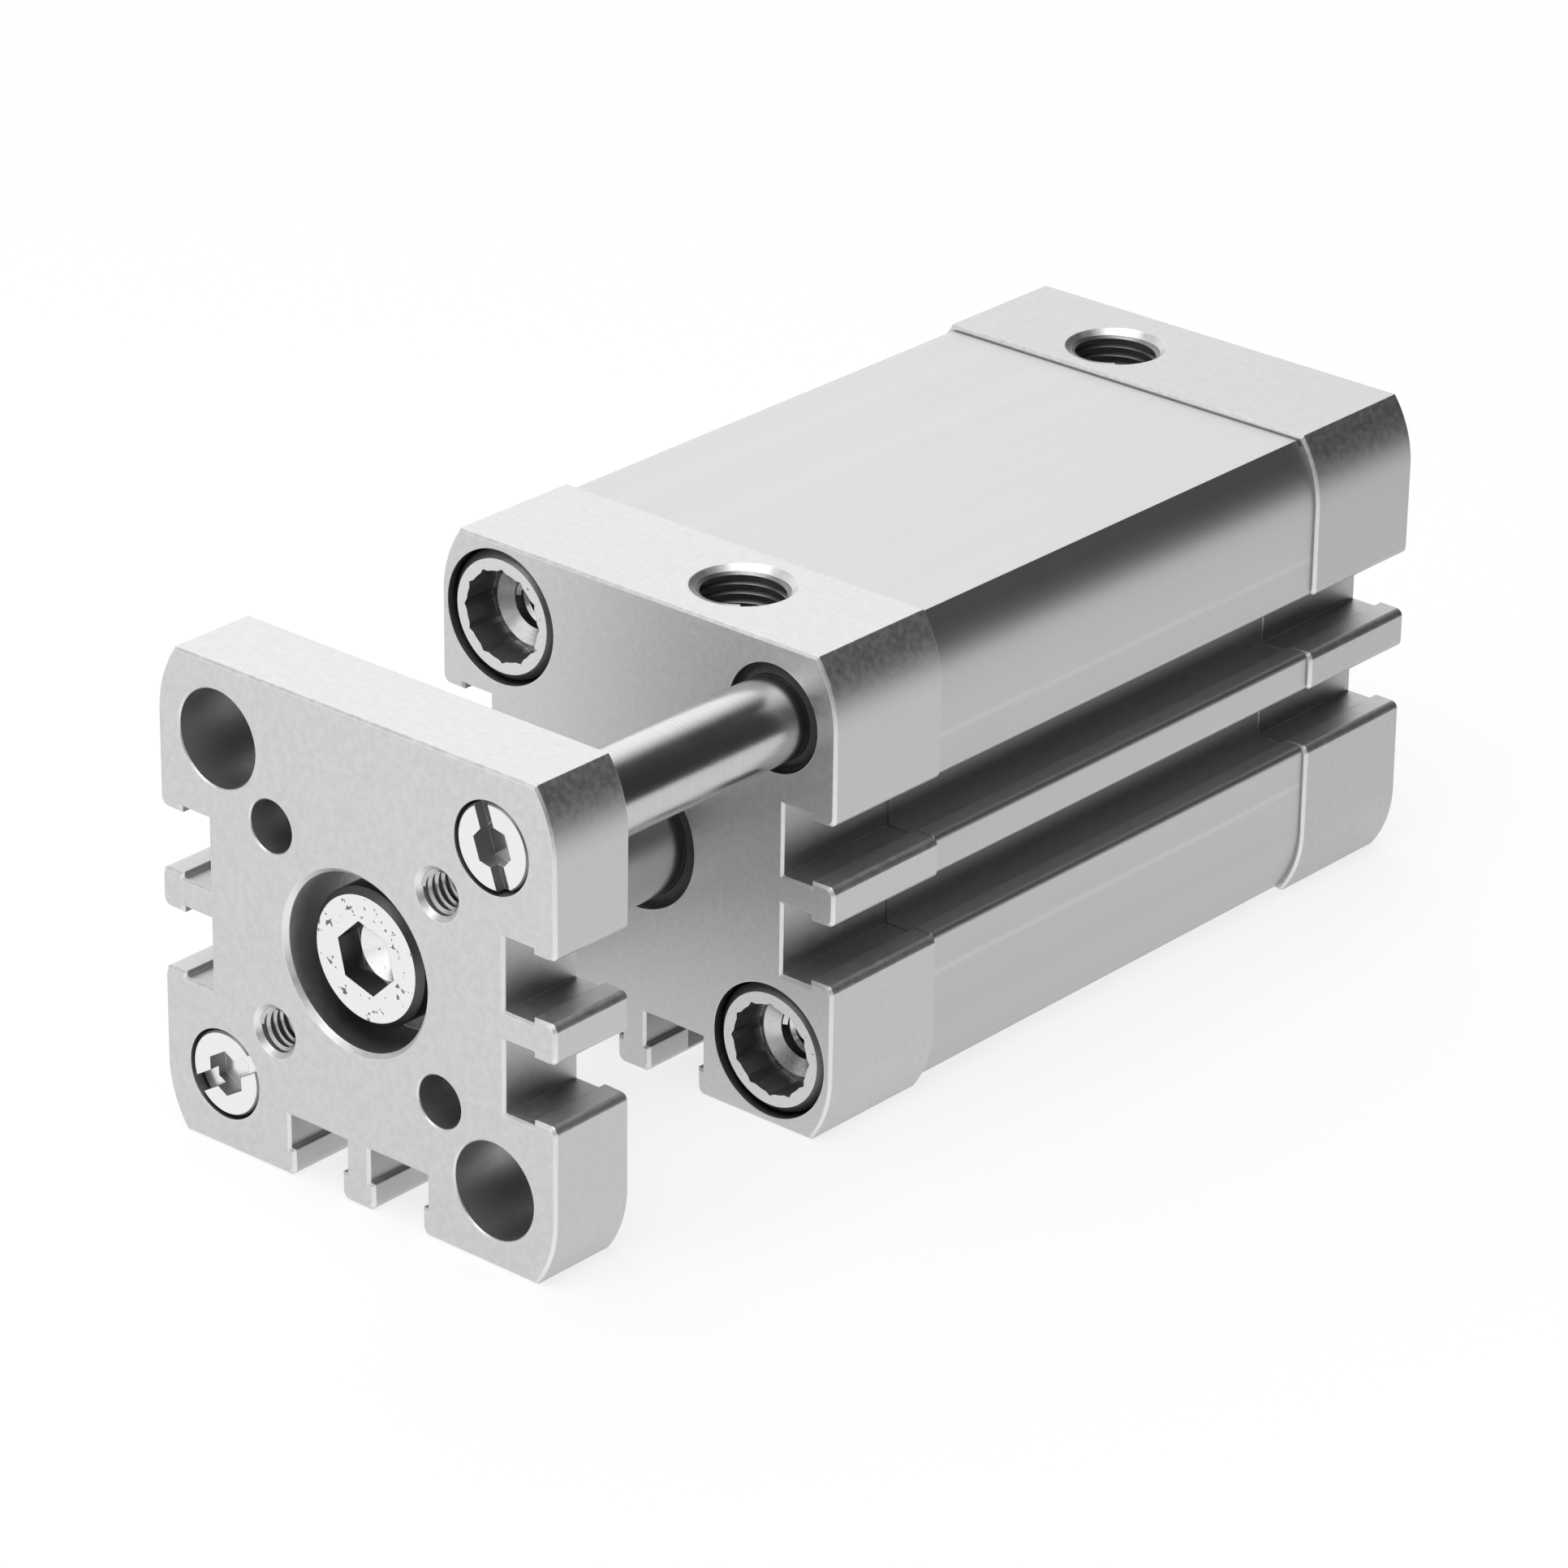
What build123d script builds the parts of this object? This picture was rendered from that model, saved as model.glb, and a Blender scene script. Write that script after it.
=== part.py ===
from build123d import *
import os
from math import acos, degrees, sin

# Guided pneumatic cylinder, drawn half way out. Sizes are in millimetres.
# Y runs along the cylinder. The rear mounting face lies at Y = 0 and the yoke plate looks towards -Y.
# X is to the right as seen from the front, and Z is up, with both air ports on top.

# Cylinder bore, and the sensor slots, two each in the left, right and under side
bore_diameter = 32.0
slot_offset = 4.85
slot_mouth = 5.8
slot_undercut = 0.55
slot_depth = 5.9
slot_lip = 2.6
slot_floor_wall = 1.6

# Outline shared by the yoke plate and the two caps
face_width = bore_diameter + 2 * (slot_floor_wall + slot_depth)
crease_inset = 2.25
corner_radius = 11.0
edge_chamfer = 0.25
barrel_inset = 0.45

# Lengths along the axis
end_cap_length = 14.8
bearing_cap_length = 14.5
yoke_thickness = 9.3
stroke = 40.0
retracted_gap = 6.5

# The caps' registers and sealing rings in the bore
register_length = 2.0
register_clearance = 0.05
joint_ring_section = 1.15
joint_groove_width = 1.3
joint_groove_depth = 1.2

# Collar screws at the corners, with a female thread in the head
corner_inset = 7.25
collar_head_diameter = 12.4
collar_head_height = 5.8
collar_head_chamfer = 0.7
collar_head_gap = 0.3
collar_recess = 0.2
collar_shank_diameter = 7.9
collar_shank_gap = 0.25
collar_engagement = 10.0
collar_socket_flats = 8.0
collar_socket_round = 0.35
collar_socket_depth = 3.6
collar_thread_core = 5.0
collar_thread_mouth_radius = 3.9
collar_thread_depth = 12.0
thread_clearance = 0.05
shank_chamfer = 0.5

# Piston rod, its bush and its wiper
rod_diameter = 12.0
rod_bush_wall = 1.0
rod_bush_floor = 1.5
rod_wiper_wall = 1.25
rod_wiper_length = 3.0
rod_pilot_depth = 1.0
rod_end_chamfer = 0.4

# Guide rods, their bushes and wipers
guide_diameter = 8.0
guide_bush_wall = 1.0
guide_bush_floor = 3.5
guide_wiper_wall = 1.15
guide_wiper_length = 2.5
guide_bore_gap = 0.5
guide_seat_depth = 3.5
guide_end_gap = 1.0
guide_end_chamfer = 0.6

# Radial clearances
bush_clearance = 0.05
wiper_clearance = 0.04
passage_clearance = 0.3
seat_clearance = 0.02
wiper_recess = 0.3
wiper_lip = 0.7

# Air ports, G1/8
port_core_diameter = 8.56
port_mouth_chamfer = 0.62
port_depth = 6.5
port_corner_step = 10.25
front_port_inset = 7.7
rear_port_inset = 8.4
passage_diameter = 4.0
nozzle_inset = 4.4
nozzle_diameter = 2.4

# Elastic end stops, seated in the registers
buffer_rod_gap = 2.5
buffer_width = 2.9
buffer_depth = 2.0
buffer_stand = 0.1
buffer_side_gap = 0.15

# Piston in two halves, with its rings and its screw
piston_end_gap = 0.2
piston_bore_gap = 0.2
piston_seal_groove_depth = 2.8
piston_seal_width = 2.0
piston_seal_side_gap = 0.1
piston_seal_notch = 0.7
piston_seal_clearance = 0.03
piston_land = 0.9
piston_end_land = 0.7
wear_ring_groove_depth = 0.8
wear_ring_width = 2.5
wear_ring_side_gap = 0.1
wear_ring_clearance = 0.06
magnet_cover = 1.4
magnet_depth = 3.1
magnet_width = 2.4
magnet_gap = 0.1
piston_rod_seal_section = 1.0
piston_rod_seal_gap = 0.1
rod_shoulder_step = 1.5
rod_shoulder_depth = 1.5
rod_spigot_end_gap = 0.2
piston_screw_diameter = 6.0
piston_screw_head_diameter = 11.0
piston_screw_head_height = 2.8
piston_screw_head_chamfer = 0.4
piston_screw_recess = 0.2
piston_screw_side_gap = 0.2
piston_screw_engagement = 12.0
piston_screw_flats = 5.0
piston_screw_socket_depth = 1.6

# Yoke plate and the screws through it
yoke_bore_chamfer = 0.45
yoke_floor = 2.0
yoke_screw_diameter = 8.0
yoke_screw_gap = 0.25
yoke_screw_head_diameter = 13.0
yoke_screw_head_gap = 1.8
yoke_screw_head_height = 4.9
yoke_screw_head_chamfer = 0.6
yoke_screw_flats = 6.0
yoke_screw_socket_depth = 2.5
yoke_screw_socket_turn = 44
yoke_screw_drill_point = 1.73
yoke_screw_engagement = 16.0
access_hole_diameter = 9.2
dowel_corner_step = 6.35
dowel_diameter = 5.0
plate_thread_core = 4.2
plate_thread_chamfer = 0.5
hole_chamfer = 0.15
guide_screw_diameter = 5.0
guide_screw_gap = 0.15
guide_screw_head_diameter = 8.1
guide_screw_head_gap = 0.25
guide_screw_head_height = 2.6
guide_screw_head_chamfer = 0.2
guide_screw_recess = 0.1
guide_screw_engagement = 11.0
guide_screw_flats = 3.8
guide_screw_socket_depth = 1.9
guide_screw_slot_width = 1.6
guide_screw_slot_depth = 1.0
guide_screw_turns = (109.0, 32.0)
tapped_hole_spare = 1.5

# Piston radii and half length, from the middle of its wear ring out to an end
piston_radius = bore_diameter / 2 - piston_bore_gap
wear_groove_radius = piston_radius - wear_ring_groove_depth
seal_groove_radius = piston_radius - piston_seal_groove_depth
magnet_outer_radius = wear_groove_radius - magnet_cover
magnet_inner_radius = magnet_outer_radius - magnet_depth
wear_groove_half = wear_ring_width / 2 + wear_ring_side_gap
seal_groove_start = wear_groove_half + piston_land
seal_groove_width = piston_seal_width + 2 * piston_seal_side_gap
piston_half = seal_groove_start + seal_groove_width + piston_end_land

# Stations are distances forward of the rear mounting face
barrel_length = stroke + 2 * (piston_half + piston_end_gap + register_length)
barrel_back = end_cap_length
barrel_front = barrel_back + barrel_length
body_front = barrel_front + bearing_cap_length
yoke_back = body_front + retracted_gap + stroke / 2
yoke_front = yoke_back + yoke_thickness
chamber_back = barrel_back + register_length
chamber_front = barrel_front - register_length
piston_middle = (chamber_back + chamber_front) / 2
piston_back = piston_middle - piston_half
piston_front = piston_middle + piston_half

# Places and radii that several pieces share
half_face = face_width / 2
corner = half_face - corner_inset
dowel_offset = corner - dowel_corner_step
port_side_step = corner - port_corner_step
screw_corners = [(-corner, corner), (corner, -corner)]
rod_corners = [(corner, corner), (-corner, -corner)]
rod_corner_of = {"upper": rod_corners[0], "lower": rod_corners[1]}
register_radius = bore_diameter / 2 - register_clearance
joint_groove_radius = register_radius - joint_groove_depth
buffer_inner_radius = rod_diameter / 2 + buffer_rod_gap
buffer_outer_radius = buffer_inner_radius + buffer_width
collar_bore_radius = collar_head_diameter / 2 + collar_head_gap
collar_hole_radius = collar_shank_diameter / 2 + collar_shank_gap
collar_seat_depth = collar_recess + collar_head_height
collar_shank_length = bearing_cap_length - collar_seat_depth + collar_engagement
collar_thread_radius = collar_shank_diameter / 2 + thread_clearance
rod_bush_radius = rod_diameter / 2 + bush_clearance + rod_bush_wall
rod_bush_length = bearing_cap_length - rod_wiper_length - rod_bush_floor
rod_wiper_radius = rod_diameter / 2 + rod_wiper_wall
rod_spigot_radius = rod_diameter / 2 - rod_shoulder_step
guide_bush_radius = guide_diameter / 2 + bush_clearance + guide_bush_wall
guide_bush_length = bearing_cap_length - guide_wiper_length - guide_bush_floor
guide_wiper_radius = guide_diameter / 2 + guide_wiper_wall
guide_bore_back = collar_seat_depth + collar_shank_length + guide_end_gap
guide_rod_back = guide_bore_back + guide_end_gap + stroke / 2
guide_rod_front = yoke_back + guide_seat_depth
rod_front = yoke_back + rod_pilot_depth
rod_shoulder = piston_front - rod_shoulder_depth
screw_floor = piston_back + piston_screw_recess + piston_screw_head_height
rod_spigot_back = screw_floor + rod_spigot_end_gap
seal_middle = seal_groove_start + seal_groove_width / 2
port_mouth_radius = port_core_diameter / 2 + port_mouth_chamfer
nozzle_height = bore_diameter / 2 - nozzle_inset
passage_floor = nozzle_height - nozzle_diameter / 2
yoke_bore_depth = yoke_thickness - rod_pilot_depth - yoke_floor
yoke_bore_radius = yoke_screw_head_diameter / 2 + yoke_screw_head_gap
guide_screw_depth = guide_screw_recess + guide_screw_head_height

rear_face = Plane(origin=(0, 0, 0), x_dir=(-1, 0, 0), z_dir=(0, 1, 0))
top_face = Plane.XY.offset(half_face)

os.makedirs("parts", exist_ok=True)


def station(distance):
    """Cross plane at a station, facing forward, with X across and Z up."""
    return Plane.XZ.offset(distance)


def section_at(place):
    """Lengthwise plane through the axis at (x, z): radius across the page, station up the page."""
    return Plane(origin=(place[0], 0, place[1]), x_dir=(1, 0, 0), z_dir=(0, 0, -1))


def axis_at(place):
    """Line along the cylinder through (x, z)."""
    return Axis((place[0], 0, place[1]), (0, 1, 0))


def finish(piece, name):
    """Labels a finished piece and writes its file."""
    piece.part.label = name
    export_step(piece.part, f"parts/{name}.step")


def profile(plane, inset):
    """Slotted outline: side walls that curve in to a crease at the flat top and bottom."""
    half = half_face - inset
    sweep_angle = acos(1 - crease_inset / corner_radius)
    arc_foot = half - corner_radius * sin(sweep_angle)
    with BuildSketch(plane) as outline:
        with BuildLine():
            Line((half, 0), (half, arc_foot))
            rounding = JernArc((half, arc_foot), (0, 1), corner_radius, degrees(sweep_angle))
            Line(rounding @ 1, (0, half))
            mirror(about=Plane.YZ)
            mirror(about=Plane.XZ)
        make_face()
        with PolarLocations(half_face - slot_depth, 3, 180, 180, endpoint=True):
            with GridLocations(slot_depth, 2 * slot_offset, 1, 2):
                Rectangle(slot_depth, slot_mouth, align=(Align.MIN, Align.CENTER), mode=Mode.SUBTRACT)
                Rectangle(
                    slot_depth - slot_lip,
                    slot_mouth + 2 * slot_undercut,
                    align=(Align.MIN, Align.CENTER),
                    mode=Mode.SUBTRACT,
                )
    return outline.sketch


def discs(plane, radius, places=((0, 0),)):
    """One disc on a plane for each place."""
    with BuildSketch(plane) as faces:
        with Locations(*places):
            Circle(radius)
    return faces.sketch


def ring(plane, outer_radius, inner_radius):
    """Flat ring on a plane, about the cylinder's axis."""
    with BuildSketch(plane) as face:
        Circle(outer_radius)
        Circle(inner_radius, mode=Mode.SUBTRACT)
    return face.sketch


def hexagons(plane, flats, places=((0, 0),), turn=0):
    """One hexagon on a plane for each place, by its width across flats."""
    with BuildSketch(plane) as faces:
        with Locations(*places):
            RegularPolygon(flats / 2, 6, major_radius=False, rotation=turn)
    return faces.sketch


def break_rims(plate):
    """Chamfers the outer rim of a plate's front and rear faces."""
    for end in (0, -1):
        face = plate.faces().sort_by(Axis.Y)[end]
        chamfer(face.outer_wire().edges(), edge_chamfer)


def collar_screws(face, places):
    """Corner screws: a collar head with a twelve-point socket over a female thread."""
    outward = Axis(face.origin, face.z_dir)
    with BuildPart() as screws:
        extrude(discs(face, collar_head_diameter / 2, places), amount=-collar_head_height)
        chamfer(screws.edges().group_by(outward)[-1], collar_head_chamfer)
        seat = face.offset(-collar_head_height)
        extrude(discs(seat, collar_shank_diameter / 2, places), amount=-collar_shank_length)
        chamfer(screws.edges().group_by(outward)[0], shank_chamfer)
        for turn in (0, 30):
            socket = hexagons(face, collar_socket_flats, places, turn)
            extrude(socket, amount=-collar_socket_depth, mode=Mode.SUBTRACT)
        round_part = discs(face, collar_socket_flats / 2 + collar_socket_round, places)
        extrude(round_part, amount=-collar_socket_depth, mode=Mode.SUBTRACT)
        with Locations(face.offset(-collar_socket_depth)):
            with Locations(*places):
                CounterSinkHole(
                    collar_thread_core / 2, collar_thread_mouth_radius, collar_thread_depth, 120
                )
    return screws


def plain_bush(place, rod_size, outer_radius, front, length):
    """Plain bearing ring about a rod, with its front face at a station."""
    inner_radius = rod_size / 2 + bush_clearance
    with BuildPart() as bush:
        extrude(discs(station(front), outer_radius, [place]), amount=-length)
        bore = discs(station(front), inner_radius, [place])
        extrude(bore, amount=-length, mode=Mode.SUBTRACT)
    return bush


def wiper(place, rod_size, seat_radius, length):
    """Rubber ring in the bearing cap's face, with a lip that leans in to the rod."""
    lip_radius = rod_size / 2 + wiper_clearance
    outer_radius = seat_radius - seat_clearance
    front = body_front - wiper_recess
    back = body_front - length
    with BuildPart() as ring_seal:
        with BuildSketch(section_at(place)):
            with BuildLine():
                Polyline(
                    (lip_radius, front),
                    (lip_radius, front - wiper_lip),
                    (lip_radius + wiper_lip / 2, front - 2 * wiper_lip),
                    (lip_radius + wiper_lip / 2, back),
                    (outer_radius, back),
                    (outer_radius, front - wiper_lip / 2),
                    (outer_radius - wiper_lip / 2, front - wiper_lip / 2),
                    close=True,
                )
            make_face()
        revolve(axis=axis_at(place))
    return ring_seal


def round_ring(centre_radius, section_diameter, middle):
    """Ring of round section about the cylinder's axis."""
    with BuildPart() as round_seal:
        with BuildSketch(section_at((0, 0))):
            with Locations((centre_radius, middle)):
                Circle(section_diameter / 2)
        revolve(axis=Axis.Y)
    return round_seal


def end_stop(face_station, towards):
    """Elastic ring let into a register's face; towards is +1 where the register points forward."""
    with BuildPart() as stop:
        floor = station(face_station - towards * buffer_depth)
        height = towards * (buffer_depth + buffer_stand)
        extrude(ring(floor, buffer_outer_radius, buffer_inner_radius), amount=height)
    return stop


# Extruded barrel: cylinder bore, four corner holes and the sensor slots
with BuildPart() as barrel:
    extrude(profile(station(barrel_back), barrel_inset), amount=barrel_length)
    with Locations(station(barrel_front)):
        Hole(bore_diameter / 2)
        with Locations(*screw_corners, *rod_corners):
            Hole(collar_thread_radius)
        with Locations(*rod_corners):
            Hole(guide_diameter / 2 + guide_bore_gap, barrel_front - guide_bore_back)
finish(barrel, "barrel")

# Bearing cap: carries the rod bush, the guide bushes, the wipers and the front port
with BuildPart() as bearing_cap:
    extrude(profile(station(barrel_front), 0), amount=bearing_cap_length)
    break_rims(bearing_cap)
    extrude(discs(station(barrel_front), register_radius), amount=-register_length)
    joint_groove = ring(station(barrel_front), register_radius, joint_groove_radius)
    extrude(joint_groove, amount=-joint_groove_width, mode=Mode.SUBTRACT)
    buffer_seat = ring(
        station(chamber_front), buffer_outer_radius + buffer_side_gap, buffer_inner_radius - buffer_side_gap
    )
    extrude(buffer_seat, amount=buffer_depth, mode=Mode.SUBTRACT)
    with Locations(station(body_front)):
        CounterBoreHole(
            rod_diameter / 2 + passage_clearance,
            rod_bush_radius + seat_clearance,
            rod_wiper_length + rod_bush_length,
        )
        Hole(rod_wiper_radius, rod_wiper_length)
        with Locations(*rod_corners):
            CounterBoreHole(
                guide_diameter / 2 + passage_clearance,
                guide_bush_radius + seat_clearance,
                guide_wiper_length + guide_bush_length,
            )
            Hole(guide_wiper_radius, guide_wiper_length)
        with Locations(*screw_corners):
            CounterBoreHole(collar_hole_radius, collar_bore_radius, collar_seat_depth)
    with Locations(top_face):
        with Locations((port_side_step, front_port_inset - body_front)):
            CounterSinkHole(port_core_diameter / 2, port_mouth_radius, port_depth, 90)
            Hole(passage_diameter / 2, half_face - passage_floor)
    front_nozzle = discs(station(chamber_front), nozzle_diameter / 2, [(port_side_step, nozzle_height)])
    extrude(front_nozzle, amount=body_front - front_port_inset - chamber_front, mode=Mode.SUBTRACT)
finish(bearing_cap, "bearing_cap")

# End cap: closes the barrel at the rear and carries the rear port
with BuildPart() as end_cap:
    extrude(profile(station(0), 0), amount=end_cap_length)
    break_rims(end_cap)
    extrude(discs(station(barrel_back), register_radius), amount=register_length)
    joint_groove = ring(station(barrel_back), register_radius, joint_groove_radius)
    extrude(joint_groove, amount=joint_groove_width, mode=Mode.SUBTRACT)
    buffer_seat = ring(
        station(chamber_back), buffer_outer_radius + buffer_side_gap, buffer_inner_radius - buffer_side_gap
    )
    extrude(buffer_seat, amount=-buffer_depth, mode=Mode.SUBTRACT)
    with Locations(rear_face):
        with Locations(*screw_corners, *rod_corners):
            CounterBoreHole(collar_hole_radius, collar_bore_radius, collar_seat_depth)
    with Locations(top_face):
        with Locations((-port_side_step, -rear_port_inset)):
            CounterSinkHole(port_core_diameter / 2, port_mouth_radius, port_depth, 90)
            Hole(passage_diameter / 2, half_face - passage_floor)
    rear_nozzle = discs(station(chamber_back), nozzle_diameter / 2, [(-port_side_step, nozzle_height)])
    extrude(rear_nozzle, amount=rear_port_inset - chamber_back, mode=Mode.SUBTRACT)
finish(end_cap, "end_cap")

# Collar screws: two through the bearing cap beside the guide rods, four through the end cap
finish(collar_screws(station(body_front - collar_recess), screw_corners), "bearing_cap_screws")
finish(collar_screws(rear_face.offset(-collar_recess), screw_corners + rod_corners), "end_cap_screws")

# Rod bush and wiper, and the same pair for each guide rod
bush_front = body_front - rod_wiper_length
finish(plain_bush((0, 0), rod_diameter, rod_bush_radius, bush_front, rod_bush_length), "rod_bush")
finish(wiper((0, 0), rod_diameter, rod_wiper_radius, rod_wiper_length), "rod_wiper")
for side, place in rod_corner_of.items():
    guide_bush_front = body_front - guide_wiper_length
    bush = plain_bush(place, guide_diameter, guide_bush_radius, guide_bush_front, guide_bush_length)
    finish(bush, f"{side}_guide_bush")
    finish(wiper(place, guide_diameter, guide_wiper_radius, guide_wiper_length), f"{side}_guide_wiper")

# Sealing rings and elastic stops where the caps meet the barrel
joint_ring_radius = joint_groove_radius + joint_ring_section / 2 + seat_clearance
front_ring_middle = barrel_front - joint_groove_width / 2
rear_ring_middle = barrel_back + joint_groove_width / 2
finish(round_ring(joint_ring_radius, joint_ring_section, front_ring_middle), "front_joint_seal")
finish(round_ring(joint_ring_radius, joint_ring_section, rear_ring_middle), "rear_joint_seal")
finish(end_stop(chamber_front, -1), "front_buffer")
finish(end_stop(chamber_back, 1), "rear_buffer")

# Yoke plate: the caps' outline again, with the holes that a load or a tool needs
with BuildPart() as yoke_plate:
    extrude(profile(station(yoke_back), 0), amount=yoke_thickness)
    break_rims(yoke_plate)
    with Locations(station(yoke_front)):
        CounterSinkHole(yoke_bore_radius, yoke_bore_radius + yoke_bore_chamfer, yoke_bore_depth, 90)
        Hole(yoke_screw_diameter / 2 + yoke_screw_gap)
        with Locations(*screw_corners):
            CounterSinkHole(access_hole_diameter / 2, access_hole_diameter / 2 + hole_chamfer, None, 90)
        with Locations((-dowel_offset, dowel_offset), (dowel_offset, -dowel_offset)):
            CounterSinkHole(dowel_diameter / 2, dowel_diameter / 2 + hole_chamfer, None, 90)
        with Locations((dowel_offset, dowel_offset), (-dowel_offset, -dowel_offset)):
            CounterSinkHole(plate_thread_core / 2, plate_thread_core / 2 + plate_thread_chamfer, None, 90)
        with Locations(*rod_corners):
            CounterBoreHole(
                guide_screw_diameter / 2 + guide_screw_gap,
                guide_screw_head_diameter / 2 + guide_screw_head_gap,
                guide_screw_depth,
            )
    rod_pilot = discs(station(yoke_back), rod_diameter / 2 + seat_clearance)
    extrude(rod_pilot, amount=rod_pilot_depth, mode=Mode.SUBTRACT)
    guide_seats = discs(station(yoke_back), guide_diameter / 2 + seat_clearance, rod_corners)
    extrude(guide_seats, amount=guide_seat_depth, mode=Mode.SUBTRACT)
finish(yoke_plate, "yoke_plate")

# Yoke screw: low socket head, sunk in the plate's bore
yoke_screw_seat = station(yoke_front - yoke_bore_depth)
yoke_screw_face = yoke_screw_seat.offset(yoke_screw_head_height)
with BuildPart() as yoke_screw:
    extrude(discs(yoke_screw_seat, yoke_screw_head_diameter / 2), amount=yoke_screw_head_height)
    chamfer(yoke_screw.edges().sort_by(Axis.Y)[0], yoke_screw_head_chamfer)
    shank = discs(yoke_screw_seat, yoke_screw_diameter / 2)
    extrude(shank, amount=-(yoke_floor + yoke_screw_engagement))
    chamfer(yoke_screw.edges().sort_by(Axis.Y)[-1], shank_chamfer)
    socket = hexagons(yoke_screw_face, yoke_screw_flats, turn=yoke_screw_socket_turn)
    extrude(socket, amount=-yoke_screw_socket_depth, mode=Mode.SUBTRACT)
    with Locations(yoke_screw_face.offset(-yoke_screw_socket_depth)):
        Cone(
            0,
            yoke_screw_flats / 2,
            yoke_screw_drill_point,
            align=(Align.CENTER, Align.CENTER, Align.MAX),
            mode=Mode.SUBTRACT,
        )
finish(yoke_screw, "yoke_screw")

# Piston rod: turned, with a tapped front end and a shouldered, tapped spigot at the piston
with BuildPart() as piston_rod:
    with BuildSketch(section_at((0, 0))):
        with BuildLine():
            Polyline(
                (0, rod_spigot_back),
                (rod_spigot_radius, rod_spigot_back),
                (rod_spigot_radius, rod_shoulder),
                (rod_diameter / 2, rod_shoulder),
                (rod_diameter / 2, rod_front - rod_end_chamfer),
                (rod_diameter / 2 - rod_end_chamfer, rod_front),
                (0, rod_front),
                close=True,
            )
        make_face()
    revolve(axis=Axis.Y)
    front_tap = discs(station(rod_front), yoke_screw_diameter / 2 + thread_clearance)
    extrude(front_tap, amount=-(yoke_screw_engagement + tapped_hole_spare), mode=Mode.SUBTRACT)
    rear_tap = discs(station(rod_spigot_back), piston_screw_diameter / 2 + thread_clearance)
    extrude(rear_tap, amount=piston_screw_engagement + tapped_hole_spare, mode=Mode.SUBTRACT)
finish(piston_rod, "piston_rod")

# Guide rods: ground bars seated in the back of the yoke plate, tapped for their screws
for side, place in rod_corner_of.items():
    with BuildPart() as guide_rod:
        guide_length = guide_rod_front - guide_rod_back
        extrude(discs(station(guide_rod_back), guide_diameter / 2, [place]), amount=guide_length)
        chamfer(guide_rod.edges().sort_by(Axis.Y)[-1], guide_end_chamfer)
        tap = discs(station(guide_rod_front), guide_screw_diameter / 2 + thread_clearance, [place])
        extrude(tap, amount=-(guide_screw_engagement + tapped_hole_spare), mode=Mode.SUBTRACT)
    finish(guide_rod, f"{side}_guide_rod")

# Guide rod screws: flush heads with a driver slot across a small hexagon socket
guide_screw_face = station(yoke_front - guide_screw_recess)
guide_screw_seat = guide_screw_face.offset(-guide_screw_head_height)
guide_floor = yoke_thickness - guide_seat_depth - guide_screw_depth
with BuildPart() as guide_rod_screws:
    heads = discs(guide_screw_face, guide_screw_head_diameter / 2, rod_corners)
    extrude(heads, amount=-guide_screw_head_height)
    chamfer(guide_rod_screws.edges().group_by(Axis.Y)[0], guide_screw_head_chamfer)
    shanks = discs(guide_screw_seat, guide_screw_diameter / 2, rod_corners)
    extrude(shanks, amount=-(guide_floor + guide_screw_engagement))
    for place, turn in zip(rod_corners, guide_screw_turns):
        socket = hexagons(guide_screw_face, guide_screw_flats, [place], turn)
        extrude(socket, amount=-guide_screw_socket_depth, mode=Mode.SUBTRACT)
        with BuildSketch(guide_screw_face) as slot:
            with Locations(place):
                Rectangle(2 * guide_screw_head_diameter, guide_screw_slot_width, rotation=turn)
        extrude(slot.sketch, amount=-guide_screw_slot_depth, mode=Mode.SUBTRACT)
finish(guide_rod_screws, "guide_rod_screws")

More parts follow.
